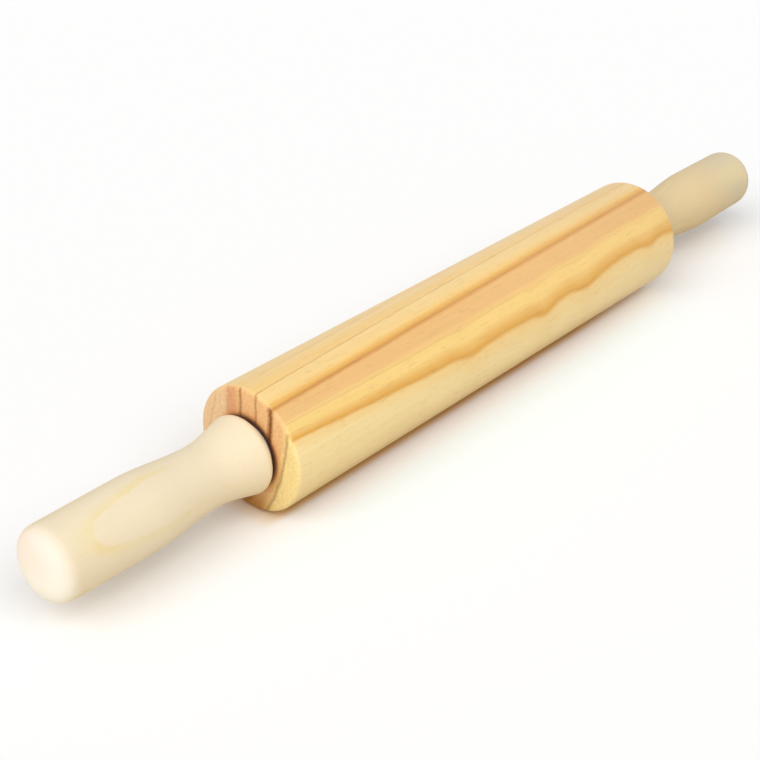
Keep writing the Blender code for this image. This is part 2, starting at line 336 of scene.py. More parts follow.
def make_tree(name, kind, takes, gives):
    """A node group, from what each of its inputs and outputs holds, by their names."""
    tree = bpy.data.node_groups.new(name, kind)
    for side, sockets in (("INPUT", takes), ("OUTPUT", gives)):
        for title, held in sockets.items():
            tree.interface.new_socket(title, in_out=side, socket_type=f"NodeSocket{held}")
    return tree, add(tree, "NodeGroupInput"), add(tree, "NodeGroupOutput")


def number(node, name):
    """An output of a node as a number."""
    return Number(node.outputs[name])


def split(vector):
    """The three parts of a vector as numbers."""
    node = add(vector.id_data, "ShaderNodeSeparateXYZ", vector=vector)
    return [Number(output) for output in node.outputs]


def join(x, y, z):
    """A vector from three numbers."""
    return add(x.tree, "ShaderNodeCombineXYZ", x=x, y=y, z=z).outputs[0]


def noise(vector, detail=2.0, roughness=0.5):
    """Soft noise from 0 to 1 with one lump to each unit of the vector."""
    values = {"scale": 1.0, "detail": detail, "roughness": roughness, "vector": vector}
    return number(add(vector.id_data, "ShaderNodeTexNoise", **values), 0)


def mix(factor, first, second, blend="MIX"):
    """Two colours mixed by a factor."""
    node = factor.tree.nodes.new("ShaderNodeMix")
    node.data_type = "RGBA"
    node.blend_type = blend
    link(node, factor=factor)
    for place, value in zip(MIX_COLOURS, (first, second)):
        if not isinstance(value, bpy.types.NodeSocket):
            value = (*value[:3], 1.0)
        connect(value, node.inputs[place])
    return node.outputs[MIX_RESULT]


def tinted(colour, mask, layer):
    """A colour times a layer's shade, as far as the mask and the layer's strength say."""
    strength, shade_there = layer
    return mix(mask * strength, colour, shade_there, "MULTIPLY")


def ramp(value, stops, low, high):
    """A colour for each distance, from a list of (distance, colour) in rising order."""
    node = value.tree.nodes.new("ShaderNodeValToRGB")
    elements = node.color_ramp.elements
    elements[0].position = (stops[0][0] - low) / (high - low)
    elements[1].position = (stops[-1][0] - low) / (high - low)
    for place, _ in stops[1:-1]:
        elements.new((place - low) / (high - low))
    for element, (_, colour) in zip(elements, stops):
        element.color = (*colour[:3], 1.0)
    fill(node, (value - low) / (high - low))
    return node.outputs[0]


# Shared effects: the contrast of soft noise, the shape of a stem's unevenness, and the flecks
NOISE_SPAN = (0.3, 0.7)
WAVER_SLIMNESS = 2.5
FRAY_LENGTH = 0.007
FRAY_WIDTH = 0.0011
FLECK_LENGTH = 0.13
FLECK_WIDTH = 0.5
FLECK_SHIFT = 7.3
FLECK_SPAN = (0.72, 0.80)
FACE_MARGIN = 0.0001
MARKS_UNEVENNESS = 30.0
MILLIMETRES = 1000.0

EFFECTS = {}


def effect(*gives):
    """Turn a function into a node group that finishes share, with named outputs.

    The function is given the three parts of the place and a number for each of its other words,
    which name the group's inputs, and returns a value for each output. The group has its name and
    is made when it is first used."""

    def keep(work_out):
        def build():
            takes = list(inspect.signature(work_out).parameters)[1:]
            inputs = {"Vector": "Vector"} | {label(word): "Float" for word in takes}
            outputs = dict.fromkeys(gives, "Float")
            tree, start, end = make_tree(work_out.__name__, "ShaderNodeTree", inputs, outputs)
            place = split(start.outputs["Vector"])
            numbers = [number(start, label(word)) for word in takes]
            for value, slot in zip(work_out(place, *numbers), end.inputs):
                connect(value, slot)
            return tree

        EFFECTS[work_out.__name__] = build
        return work_out

    return keep


def radius_at(y, z):
    """Distance from a line along X, out of the distances from it along Y and Z."""
    return (y * y + z * z).math("SQRT")


@effect("Distance")
def growth_rings(place, pith_y, pith_z, lean_y, lean_z, waver, waver_length, fray):
    """Distance from the pith, in millimetres, of a stem that leans and wavers along X."""
    x, y, z = place
    distance = radius_at(y - (pith_y + x * lean_y), z - (pith_z + x * lean_z))
    slim = [side / waver_length * WAVER_SLIMNESS for side in (y, z)]
    swell = (noise(join(x / waver_length, *slim), detail=1.0) - 0.5) * waver * 2.0
    threads = join(x / FRAY_LENGTH, y / FRAY_WIDTH, z / FRAY_WIDTH)
    ragged = (noise(threads) - 0.5) * fray * 2.0
    return [(distance + swell + ragged) * MILLIMETRES]


@effect("Fibre", "Fleck")
def wood_fibre(place, length, width):
    """Fine streaks along X, from 0 to 1, and short thin flecks where resin shows."""
    x, y, z = place
    streaks = noise(join(x / length, y / width, z / width), detail=3.0, roughness=0.6)
    short = length * FLECK_LENGTH
    thin = width * FLECK_WIDTH
    dashes = noise(join(x / short + FLECK_SHIFT, y / thin, z / thin), detail=0.0)
    return streaks.smooth(*NOISE_SPAN), dashes.smooth(*FLECK_SPAN)


@effect("Mask")
def end_grain(place, face_at, depth):
    """1 on faces cut across the grain at either end of a piece, and 0 along its side."""
    return [place[0].math("ABSOLUTE").smooth(face_at - depth, face_at - FACE_MARGIN)]


@effect("Marks")
def turning_marks(place, spacing):
    """Fine rings that a lathe leaves round the X axis, on sides and on faces, from 0 to 1."""
    x, y, z = place
    rings = join(x / spacing, radius_at(y, z) / spacing, y * MARKS_UNEVENNESS)
    return [noise(rings).smooth(*NOISE_SPAN)]


@effect("Mask")
def near_axle(place, inside, outside):
    """1 close to the axle, fading to 0 further out."""
    return [radius_at(*place[1:]).smooth(inside, outside, 1.0, 0.0)]


@effect("Mottle")
def mottle(place, patch):
    """Broad soft patches from 0 to 1, where the surface is a little darker or more worn."""
    x, y, z = place
    lumps = join(x / patch * 0.5, y / patch, z / patch)
    return [noise(lumps, detail=3.0).smooth(*NOISE_SPAN)]


class Finish:
    """A material being made: its node tree, its shader and the piece's own coordinates."""

    def __init__(self, name, **values):
        self.material = bpy.data.materials.new(name)
        self.material.use_nodes = True
        self.tree = self.material.node_tree
        self.shader = link(self.tree.nodes["Principled BSDF"], **values)
        self.place = add(self.tree, "ShaderNodeTexCoord").outputs["Object"]

    def group(self, name, **values):
        """The outputs of a shared effect on the piece's coordinates, with its own values."""
        node = self.tree.nodes.new("ShaderNodeGroup")
        node.node_tree = bpy.data.node_groups.get(name) or EFFECTS[name]()
        link(node, vector=self.place, **values)
        return [Number(output) for output in node.outputs]

    def complete(self, colour, roughness, *heights):
        """Give the shader its colour, its roughness and a relief of (mask, height in metres)."""
        values = {"base_color": colour, "roughness": roughness}
        if heights:
            first, *others = [mask * height for mask, height in heights]
            relief = sum(others, first)
            bump = add(self.tree, "ShaderNodeBump", strength=1.0, distance=1.0, height=relief)
            values["normal"] = bump.outputs["Normal"]
        link(self.shader, **values)
        return self.material


# Growth rings of the barrel, by their distance in millimetres outwards from the darkest ring's
# edge: where a ring's edge is, and the width and darkness of its line, on the side and on the ends
SIDE_RINGS = (
    (-22.6, 0.3, 0.15), (-16.3, 0.4, 0.5), (-8.7, 0.5, 0.9),
    (0.1, 1.4, 0.5), (5.5, 0.3, 0.4), (9.6, 0.4, 0.15),
)
END_RINGS = (
    (-28.0, 1.2, 0.14), (-21.2, 1.4, 0.18), (-14.6, 1.8, 0.6),
    (-7.0, 1.6, 0.5), (0.6, 3.0, 1.0), (8.5, 1.7, 0.46),
)

# Colours at those distances: wide rings inside pale sapwood on the side, and on the ends
SIDE_COLOURS = (
    (-35.0, "earlywood"), (-22.7, "gold"), (-22.4, "earlywood"), (-16.6, "gold"),
    (-16.1, "earlywood"), (-10.5, "gold"), (-8.8, "gold"),
    (-8.5, "earlywood"), (-4.6, "earlywood"), (-3.0, "gold"), (-1.7, "honey"), (-0.3, "amber"),
    (0.7, "heart"), (4.0, "heart"), (5.8, "yellow"), (7.3, "yellow"), (8.9, "honey"),
    (9.45, "saffron"), (9.6, "saffron"),
    (10.05, "earlywood"), (12.0, "sapwood"), (19.0, "sapwood"),
)
END_COLOURS = (
    (-35.0, "inner_wood"), (-24.0, "inner_wood"), (-20.6, "blush"), (-18.5, "blush"),
    (-16.5, "end_wood"), (5.0, "end_wood"),
    (7.0, "earlywood"), (8.4, "rim_wood"), (19.0, "rim_wood"),
)
INNERMOST = -36.0
OUTERMOST = 20.0

# A ring's line is darkest and ends these shares of its width before and past the ring's edge
DARKEST_BEFORE = 0.3
END_PAST = 0.25

# The darkest ring's edge: millimetres from the pith, and how much further out for a metre along X
SIDE_EDGE, SIDE_TAPER = 70.7, 3.5
END_EDGE, END_TAPER = 77.75, 4.4

# Waves of the outer rings on the side: where a crest is, how long they are and the share of their
# pointed crests, then the slow sway that shifts them along, in radians
WAVE_CREST, WAVE_LENGTH, WAVE_POINT = -0.0215, 0.0407, 0.25
SWAY_CREST, SWAY_LENGTH, SWAY = 0.052, 0.080, 0.94

# How wide the rings are against the tables: in the middle, change for a metre, and bend
OUTER_SPREAD = (1.67, 3.67, -13.6)
INNER_SPREAD = (1.22, 1.06, -5.6)

# Smooth changes: where one starts and ends and, other than 0 and 1, the values before and after
SPREAD_DROPS = (0.0, 0.09, 0.0, 0.15)
SPREAD_RISES = (0.10, 0.13, 0.0, 0.12)
WAVES_BEGIN = (-0.05, -0.02, 0.0, 0.5)
WAVY_RINGS = (4.0, 12.0)
OUTER_RINGS = (-5.0, 5.0)
END_SPREADS = (-0.125, 0.125, 0.0, 0.9)
LINES_FADE = (-0.11, 0.09, 1.0, 0.45)
# Painted shade low on the end faces: where it spans across, and how far below the axle it sets in
RESIN_BEHIND = (-0.012, -0.004)
RESIN_BELOW = (-0.024, -0.012, 1.0, 0.0)
RIGHT_HALF = (0.0, 0.125)
DOME_RINGS = (-0.207, -0.198, 0.0, 0.95)
FIGURE_FADES = (-0.185, -0.150, 1.0, 0.25)
FAR_FIGURE = (0.1, 0.15, 0.0, 0.2)
PLAIN_DOME = (0.0, 1.0, 1.0, 0.1)
LEFT_TO_RIGHT = (-0.12, 0.12)
LEFT_ONLY = (-0.1, 0.1, 1.0, 0.0)
# Painted light and shade on the near dome: the heights where its colour turns from lighter to darker
CAP_HEIGHT = (-0.008, 0.012)
FAR_DOME = (0.175, 0.205)

# What tints the wood: how strongly, and the share of its colour that is left there
STREAKS = (0.22, (0.92, 0.82, 0.66))
FIBRES = (0.20, (0.88, 0.78, 0.62))
END_PORES = (0.55, (0.84, 0.74, 0.62))
END_FIBRES = (0.3, (0.84, 0.72, 0.60))
# Painted shade: a warm darkening just beyond the dark ring round each collar
STAIN = (0.8, (0.96, 0.74, 0.44))
WEAR = (0.2, (0.93, 0.88, 0.80))
# Painted shade: the barrel is a little darker towards its right end, where less light falls
RIGHT_SHADE = (1.0, (0.93, 0.92, 0.92))
HANDLE_FIBRES = (0.14, (0.88, 0.80, 0.68))
HANDLE_WEAR = (0.15, (0.93, 0.87, 0.80))

# How strongly a colour of the wood covers the others, and how much rougher the end faces are
FLECKS = 0.26
# Painted shade: how strongly the darker golden colour covers the wood low on the end faces
RESIN = 0.9
# Painted shade: how strongly the dark ring round each collar covers the wood
OIL = 0.94
FIGURE = 0.95
HANDLE_FLECKS = 0.10
END_ROUGHER = 0.3
FLECK_BROWN = (0.45, 0.33, 0.20)

# Growth rings of the handles: distance of a ring's edge from the pith and width, in millimetres,
# and the shares of a ring where its edge's gold has faded and where it begins again
HANDLE_EDGE = 59.6
HANDLE_RING = 9.0
GOLD_ENDS = 0.04
GOLD_BEGINS = 0.82
BLACK, WHITE = (0.0,) * 3, (1.0,) * 3


def parabola(x, at_zero, slope, bend):
    """A number that changes smoothly along the piece."""
    return x * slope + x * x * bend + at_zero


def ring_colours(distance, wood, table):
    """The wood's colour at each distance."""
    stops = [(place, getattr(wood, name)) for place, name in table]
    return ramp(distance, stops, INNERMOST, OUTERMOST)


def ring_lines(distance, rings):
    """Darkness of the thin line at each ring's edge."""
    stops = []
    for edge, width, darkness in rings:
        stops += [(edge - width, BLACK), (edge - width * DARKEST_BEFORE, (darkness,) * 3)]
        stops += [(edge + width * END_PAST, BLACK)]
    return Number(ramp(distance, stops, INNERMOST, OUTERMOST))


def side_distance(x, stem):
    """Distance in the tables of a place on the barrel's side, whose outer rings are wavy."""
    outward = stem - x * SIDE_TAPER - SIDE_EDGE
    sway = ((x - SWAY_CREST) * (math.tau / SWAY_LENGTH)).math("COSINE") * SWAY
    phase = (x - WAVE_CREST) * (math.tau / WAVE_LENGTH) + sway
    waves = phase.math("COSINE") + (phase * 2.0).math("COSINE") * WAVE_POINT
    outer = outward.math("MAXIMUM", 0.0)
    outer = outer - waves * x.smooth(*WAVES_BEGIN) * outer.smooth(*WAVY_RINGS)
    spread = parabola(x, *OUTER_SPREAD) - x.smooth(*SPREAD_DROPS) + x.smooth(*SPREAD_RISES)
    return outer / spread + outward.math("MINIMUM", 0.0) / parabola(x, *INNER_SPREAD)


def end_distance(x, stem):
    """Distance in the tables of a place on an end face."""
    across = stem - x * END_TAPER - END_EDGE
    return across / (across.smooth(*OUTER_RINGS) * x.smooth(*END_SPREADS) + 1.0)


def golden_pine(wood):
    """Wide-ringed pine with rings along its side and across its end faces, and some painted shade."""
    finish = Finish("golden_pine", roughness=0.4, sheen_weight=0.2, sheen_roughness=0.4)
    x, y, z = split(finish.place)
    fibre, fleck = finish.group("wood_fibre", length=0.035, width=0.0005)
    streak, _ = finish.group("wood_fibre", length=0.12, width=0.0022)
    (end,) = finish.group("end_grain", face_at=wood.length / 2, depth=0.0012)
    (rim,) = finish.group("end_grain", face_at=wood.length / 2, depth=0.0030)
    (worn,) = finish.group("mottle", patch=0.012)
    (pores,) = finish.group("mottle", patch=0.0012)
    (marks,) = finish.group("turning_marks", spacing=0.0007)
    # Painted shade round each collar on the end faces: the dark ring and its wider warm fade
    (oiled,) = finish.group("near_axle", inside=0.0128, outside=0.0156)
    (stained,) = finish.group("near_axle", inside=0.0130, outside=0.0176)

    (stem,) = finish.group(
        "growth_rings", pith_y=0.0603, pith_z=0.027, lean_y=0.0262, waver=0.00018,
        waver_length=0.05, fray=0.0003,
    )
    distance = side_distance(x, stem)
    line = ring_lines(distance, SIDE_RINGS) * x.smooth(*LINES_FADE) * fibre.between(0.6, 1.1)
    side = ring_colours(distance, wood, SIDE_COLOURS)
    side = mix(line * rim.between(0.6, 1.0), side, wood.umber)
    side = mix(fleck * FLECKS, side, wood.umber)
    side = tinted(side, streak, STREAKS)
    side = tinted(side, fibre, FIBRES)

    (stem,) = finish.group(
        "growth_rings", pith_y=0.068, pith_z=0.0222, lean_y=0.0262, waver=0.0006,
        waver_length=0.02, fray=0.0002,
    )
    distance = end_distance(x, stem)
    end_line = ring_lines(distance, END_RINGS) * pores.between(1.05, 1.4)
    face = ring_colours(distance, wood, END_COLOURS)
    face = mix(end_line, face, wood.russet)
    face = tinted(face, pores, END_PORES)
    face = tinted(face, fibre, END_FIBRES)
    # Painted shade: the end faces are darker and more golden low down, where shade falls
    resin = y.smooth(*RESIN_BEHIND) * z.smooth(*RESIN_BELOW)
    face = mix(resin * RESIN, face, wood.resin)
    # Painted shade: the shadow in the gap round each collar, as a warm fade and a dark ring
    face = tinted(face, stained, STAIN)
    face = mix(oiled * OIL, face, wood.oiled)

    colour = tinted(mix(end, side, face), worn, WEAR)
    # Painted shade: darker towards the right end
    colour = tinted(colour, x.smooth(*RIGHT_HALF), RIGHT_SHADE)
    return finish.complete(
        colour, fibre.between(0.33, 0.43) + end * END_ROUGHER, (line, 0.00003),
        (fibre, -0.000012), (fleck, -0.00003), (marks * end, 0.00002), (pores * end, -0.00003),
    )


def pale_wood(wood):
    """Close-grained pale wood, sanded and bare, with faint golden edges to its growth rings."""
    finish = Finish("pale_wood", roughness=0.55, specular_ior_level=0.25)
    x, _, z = split(finish.place)
    fibre, fleck = finish.group("wood_fibre", length=0.02, width=0.0004)
    (worn,) = finish.group("mottle", patch=0.012)
    (marks,) = finish.group("turning_marks", spacing=0.0006)
    (dome,) = finish.group("end_grain", face_at=0.2185, depth=0.008)

    (stem,) = finish.group(
        "growth_rings", pith_y=0.0433, pith_z=-0.0390, lean_y=0.048, lean_z=-0.0435,
        waver=0.0003, waver_length=0.04, fray=0.00035,
    )
    ring = (stem + x.smooth(*DOME_RINGS) - HANDLE_EDGE) / HANDLE_RING
    stops = [(0.0, WHITE), (GOLD_ENDS, BLACK), (GOLD_BEGINS, BLACK), (1.0, WHITE)]
    late = Number(ramp(ring.math("FRACT"), stops, 0.0, 1.0))
    late = late * worn.between(0.3, 1.0) * fibre.between(0.5, 1.0) * dome.smooth(*PLAIN_DOME)
    late = late * (x.smooth(*FIGURE_FADES) + x.smooth(*FAR_FIGURE))

    colour = mix(x.smooth(*LEFT_TO_RIGHT), wood.cream, wood.far_cream)
    # Painted light and shade: the near dome is lighter low down and darker at its top
    cap = mix(z.smooth(*CAP_HEIGHT), wood.low_cream, wood.end_cream)
    colour = mix(dome * x.smooth(*LEFT_ONLY), colour, cap)
    colour = mix(x.smooth(*FAR_DOME), colour, wood.far_end)
    colour = mix(late * FIGURE, colour, wood.straw)
    colour = mix(fleck * HANDLE_FLECKS, colour, FLECK_BROWN)
    colour = tinted(colour, fibre, HANDLE_FIBRES)
    colour = tinted(colour, worn, HANDLE_WEAR)
    return finish.complete(
        colour, fibre.between(0.5, 0.6), (late, 0.00001), (fibre, -0.000008), (fleck, -0.00002),
        (marks, 0.000004),
    )


def inner_finish(name, colour, wear, plain, roughness, spacing, patch, height, metallic=0.0):
    """A plain metal or plastic with a lathe's fine rings and broad patches of wear.

    The roughness is that of a bare place, and what the rings and the patches add to it."""
    bare, ringed, patched = roughness
    finish = Finish(name, roughness=plain, metallic=metallic)
    (marks,) = finish.group("turning_marks", spacing=spacing)
    (worn,) = finish.group("mottle", patch=patch)
    strength, worn_colour = wear
    colour = mix(worn * strength, colour, worn_colour)
    return finish.complete(colour, marks * ringed + worn * patched + bare, (marks, height))


def turned_steel(metal):
    """Bright bar steel with a slight film of oil."""
    return inner_finish(
        "turned_steel", metal.steel, wear=(0.5, (0.50, 0.49, 0.47)), plain=0.3, metallic=1.0,
        roughness=(0.22, 0.12, 0.1), spacing=0.00025, patch=0.006, height=0.000004,
    )


def white_nylon(plastic):
    """Moulded nylon, slightly dusty."""
    return inner_finish(
        "white_nylon", plastic.nylon, wear=(0.5, (0.76, 0.74, 0.67)), plain=0.42,
        roughness=(0.36, 0.0, 0.15), spacing=0.0005, patch=0.004, height=0.000003,
    )


def brass(metal):
    """Turned brass with a little tarnish."""
    return inner_finish(
        "brass", metal.brass, wear=(0.6, (0.52, 0.34, 0.13)), plain=0.3, metallic=1.0,
        roughness=(0.22, 0.1, 0.15), spacing=0.00025, patch=0.005, height=0.000004,
    )


# Turned pieces


def turned_tree():
    """Geometry nodes that turn a section about the X axis and cut a thread where it asks for one.

    The section is a chain of points (along X, 0, out from X). Its value named threaded says how
    much of the thread's depth each point takes."""
    tree = bpy.data.node_groups.get("turned_piece")
    if tree:
        return tree
    takes = {
        "Section": "Geometry", "Sides": "Int", "Closed Rows": "Int", "Thread Start": "Float",
        "Thread Pitch": "Float", "Thread Depth": "Float", "Material": "Material",
    }
    gives = {"Geometry": "Geometry"}
    tree, start, end = make_tree("turned_piece", "GeometryNodeTree", takes, gives)
    section = start.outputs["Section"]
    sides = number(start, "Sides")
    points = add(tree, "GeometryNodeAttributeDomainSize", geometry=section)
    rows = number(points, "Point Count")
    grid_rows = rows + number(start, "Closed Rows")
    grid = add(tree, "GeometryNodeMeshGrid", vertices_x=grid_rows, vertices_y=sides + 1)
    index = number(add(tree, "GeometryNodeInputIndex"), 0)
    row = ((index + 0.5) / (sides + 1)).math("FLOOR")
    progress = (index - row * (sides + 1)) / sides
    source = row.math("MODULO", rows)

    def sample(kind, value):
        node = tree.nodes.new("GeometryNodeSampleIndex")
        node.data_type = kind
        return link(node, geometry=section, value=value, index=source).outputs[0]

    position = add(tree, "GeometryNodeInputPosition").outputs[0]
    x, _, out = split(sample("FLOAT_VECTOR", position))
    threaded = add(tree, "GeometryNodeInputNamedAttribute", name="threaded")
    taken = Number(sample("FLOAT", threaded.outputs["Attribute"]))
    pitch = number(start, "Thread Pitch")
    phase = ((x - number(start, "Thread Start")) / pitch - progress).math("FRACT")
    groove_end = number(add(tree, "ShaderNodeValue"), 0)
    groove_end.socket.default_value = 2 * FLANK_SHARE + CREST_SHARE
    height = (phase.math("MINIMUM", groove_end - phase) / FLANK_SHARE).math("MINIMUM", 1.0)
    height = height.math("MAXIMUM", 0.0) * taken * number(start, "Thread Depth")
    angle_round = progress * math.tau
    radius = out + height
    y = radius * angle_round.math("SINE")
    place = join(x, y, radius * angle_round.math("COSINE") * -1.0)
    shape = add(tree, "GeometryNodeSetPosition", geometry=grid.outputs["Mesh"], position=place)
    values = {"geometry": shape.outputs[0], "material": start.outputs["Material"]}
    connect(add(tree, "GeometryNodeSetMaterial", **values).outputs[0], end.inputs[0])
    return tree


def section_mesh(name, points):
    """A chain of (along X, out from X, share of thread) points as a mesh for the turning nodes."""
    mesh = bpy.data.meshes.new(name)
    mesh.from_pydata([(x, 0.0, out) for x, out, _ in points], [], [])
    values = mesh.attributes.new("threaded", "FLOAT", "POINT")
    values.data.foreach_set("value", [share for _, _, share in points])
    return mesh


def turned_piece(name, points, material, sides, closed=False, thread=None):
    """An object made by turning a section about the X axis, as a plain closed mesh."""
    obj = bpy.data.objects.new(name, section_mesh(name, [(*point, 0.0)[:3] for point in points]))
    bpy.context.scene.collection.objects.link(obj)
    modifier = obj.modifiers.new("turned", "NODES")
    modifier.node_group = turned_tree()
    start, pitch, depth = thread or (0.0, 1.0, 0.0)
    values = {
        "Sides": sides,
        "Closed Rows": int(closed),
        "Thread Start": start,
        "Thread Pitch": pitch,
        "Thread Depth": depth,
        "Material": material,
    }
    for item in modifier.node_group.interface.items_tree:
        if item.item_type == "SOCKET" and item.name in values:
            modifier[item.identifier] = values[item.name]
    obj.update_tag()
    graph = bpy.context.evaluated_depsgraph_get()
    mesh = bpy.data.meshes.new_from_object(obj.evaluated_get(graph), depsgraph=graph)
    section = obj.data
    obj.modifiers.remove(modifier)
    obj.data = mesh
    bpy.data.meshes.remove(section)
    mesh.name = name
    tidy_mesh(mesh)
    return obj


def tidy_mesh(mesh, doubled=False):
    """Close the seams, face everything outwards and mark the real corners as sharp."""
    shape = bmesh.new()
    shape.from_mesh(mesh)
    if doubled:
        half = shape.verts[:] + shape.edges[:] + shape.faces[:]
        copied = bmesh.ops.duplicate(shape, geom=half)["geom"]
        turned = [item for item in copied if isinstance(item, bmesh.types.BMVert)]
        bmesh.ops.rotate(shape, verts=turned, matrix=Matrix.Rotation(math.pi, 3, "Z"))
    bmesh.ops.remove_doubles(shape, verts=shape.verts, dist=WELDED_GAP)
    bmesh.ops.recalc_face_normals(shape, faces=shape.faces)
    shape.to_mesh(mesh)
    shape.free()
    mesh.shade_smooth()
    mesh.set_sharp_from_angle(angle=SHARP_ANGLE)


def place_along(obj, x, turned):
    """Move a piece's mesh out along the axle, turned end for end on the left."""
    matrix = Matrix.Translation((x, 0, 0))
    if turned:
        matrix = Matrix.Rotation(math.pi, 4, "Z") @ matrix
    obj.data.transform(matrix)
    obj.data.update()


def stand_for(obj, node, body, slot):
    """Let a piece take a solid's place in the picture, on the body that carries it."""
    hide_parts(node)
    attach(obj, body)


def make_pair(piece, points, material, sides, x, body, slot, **options):
    """The left-hand and the right-hand copy of a piece that each end of the pin has."""
    for side in ("left", "right"):
        obj = turned_piece(f"{side}_{piece}_turned", points, material, sides, **options)
        place_along(obj, x, side == "left")
        stand_for(obj, f"{side}_{piece}", body, slot)


def arc(centre, radius, start, end, steps):
    """Points of a round: 0 points along +X, and 90 degrees out from the axle."""
    angles = [start + (end - start) * step / steps for step in range(steps + 1)]
    return [(centre[0] + radius * math.cos(a), centre[1] + radius * math.sin(a)) for a in angles]


def line(start, end, steps):
    """Points of a straight line, without its first point."""
    spans = [(a, b - a) for a, b in zip(start, end)]
    return [tuple(a + span * step / steps for a, span in spans) for step in range(1, steps + 1)]


def sweep(start, slope, end, steps):
    """Points of a curve that leaves at a slope and arrives level, without its first point."""
    length = end[0] - start[0]
    points = []
    for step in range(1, steps + 1):
        t = step / steps
        radius = start[1] + (end[1] - start[1]) * (3 * t**2 - 2 * t**3)
        radius += length * slope * (t**3 - 2 * t**2 + t)
        points.append((start[0] + length * t, radius))
    return points


def dome(start, length, power, steps):
    """Points of a blunt dome that ends on the axis, without its first point."""
    points = []
    for step in range(1, steps):
        angle = math.pi / 2 * step / steps
        reach = math.sin(angle) ** (2 / power)
        height = math.cos(angle) ** (2 / power)
        points.append((start[0] + length * reach, start[1] * height))
    return points + [(start[0] + length, 0.0)]


def flange_face(pin):
    return pin.barrel.length / 2 + FLANGE_STAND


def washer_face(pin):
    return flange_face(pin) + END_PLAY


def collar_face(pin):
    return washer_face(pin) + pin.axle.washer_thickness + END_PLAY


def insert_face(pin):
    return collar_face(pin) + INSERT_SINK


def thread_start(pin):
    return insert_face(pin) + 2 * pin.inserts.chamfer


def bush_bore(pin):
    return pin.axle.rod_radius + RUNNING_GAP


def insert_radius(pin):
    return pin.axle.stud_radius + SEAT_GAP + pin.inserts.wall


def lip_radius(pin):
    return insert_radius(pin) + pin.inserts.lip_width


def stud_core(pin):
    return pin.axle.stud_radius - pin.axle.thread_depth


def barrel_section(pin):
    """The closed outline of the barrel: outside, end faces, bush seats and the rod's hole."""
    end = pin.barrel.length / 2
    edge = pin.barrel.edge_round
    radius = pin.barrel.radius
    rim = radius - edge
    hole = pin.axle.rod_radius + ROD_HOLE_GAP
    seat = bush_bore(pin) + pin.bushes.wall + SEAT_GAP
    recess = pin.bushes.flange_radius + SEAT_GAP
    recess_floor = flange_face(pin) - pin.bushes.flange_thickness - SEAT_GAP
    seat_floor = flange_face(pin) - pin.bushes.length - SEAT_GAP
    half = line((0.0, radius), (end - edge, radius), BARREL_STEPS)[:-1]
    half += arc((end - edge, rim), edge, math.pi / 2, 0, BARREL_EDGE_STEPS)
    half += line((end, rim), (end, recess), BARREL_FACE_STEPS)
    half += [(recess_floor, recess), (recess_floor, seat), (seat_floor, seat), (seat_floor, hole)]
    return [(-x, r) for x, r in reversed(half)] + [(0.0, radius)] + half + [(0.0, hole)]


def handle_section(pin):
    """A handle's whole section: drilled hole, seat of the insert's lip, collar and outside."""
    grip = pin.handles
    hole = insert_radius(pin) + SEAT_GAP
    recess = lip_radius(pin) + SEAT_GAP
    lip_seat = INSERT_SINK + pin.inserts.lip_thickness + SEAT_GAP
    hole_end = INSERT_SINK + pin.inserts.length + HOLE_SPARE
    points = [(hole_end + DRILL_POINT, 0.0), (hole_end, hole), (lip_seat, hole)]
    points += [(lip_seat, recess), (0.0, recess)]
    rim = grip.collar_radius - grip.collar_round
    points += line((0.0, recess), (0.0, rim), COLLAR_FACE_STEPS)[:-1]
    lean = math.atan(-grip.collar_taper)
    centre = (grip.collar_round, rim)
    points += arc(centre, grip.collar_round, math.pi, math.pi / 2 - lean, COLLAR_EDGE_STEPS)
    waist = (grip.waist_place, grip.waist_radius)
    widest = (grip.grip_place, grip.grip_radius)
    tail = (grip.length - grip.dome_length, grip.tail_radius)
    points += sweep(points[-1], grip.collar_taper, waist, WAIST_STEPS)
    points += sweep(waist, 0.0, widest, GRIP_STEPS)
    points += sweep(widest, 0.0, tail, GRIP_STEPS)
    return points + dome(tail, grip.dome_length, grip.dome_power, DOME_STEPS)


def threaded_run(axle, start, end, radius, first, last):
    """Points along a threaded stretch: the thread fades in after first and out before last."""
    rows = max(2, round(abs(end - start) / axle.thread_pitch * axle.thread_steps))
    points = []
    for row in range(rows + 1):
        x = start + (end - start) * row / rows
        share = min(x - first, last - x) / (RUN_OUT_TURNS * axle.thread_pitch)
        points.append((x, radius, min(1.0, max(0.0, share))))
    return points


def rod_section(pin):
    """Half of the axle, from the middle of the barrel: plain rod, shoulder and threaded stud."""
    axle = pin.axle
    radius = axle.rod_radius
    shoulder = insert_face(pin) - SEAT_GAP
    tip = shoulder + axle.stud_length
    core = stud_core(pin)
    points = [(0.0, radius)] + line((0.0, radius), (shoulder, radius), ROD_STEPS)[:-1]
    points += [(shoulder - axle.rod_chamfer, radius), (shoulder, radius - axle.rod_chamfer)]
    first = thread_start(pin) + axle.thread_pitch
    last = tip - axle.stud_chamfer
    points += threaded_run(axle, shoulder, last, core, first, last)
    return points + [(tip, core - axle.stud_chamfer), (tip, 0.0)]


def washer_section(pin):
    """Flat ring with its outer corners broken, from zero outwards."""
    bore = bush_bore(pin)
    radius = pin.axle.washer_radius
    thick = pin.axle.washer_thickness
    edge = pin.axle.washer_chamfer
    corner = edge * CORNER_LEFT
    return [
        (0.0, bore), (0.0, radius - edge), (corner, radius - corner), (edge, radius),
        (thick - edge, radius), (thick - corner, radius - corner), (thick, radius - edge),
        (thick, bore),
    ]


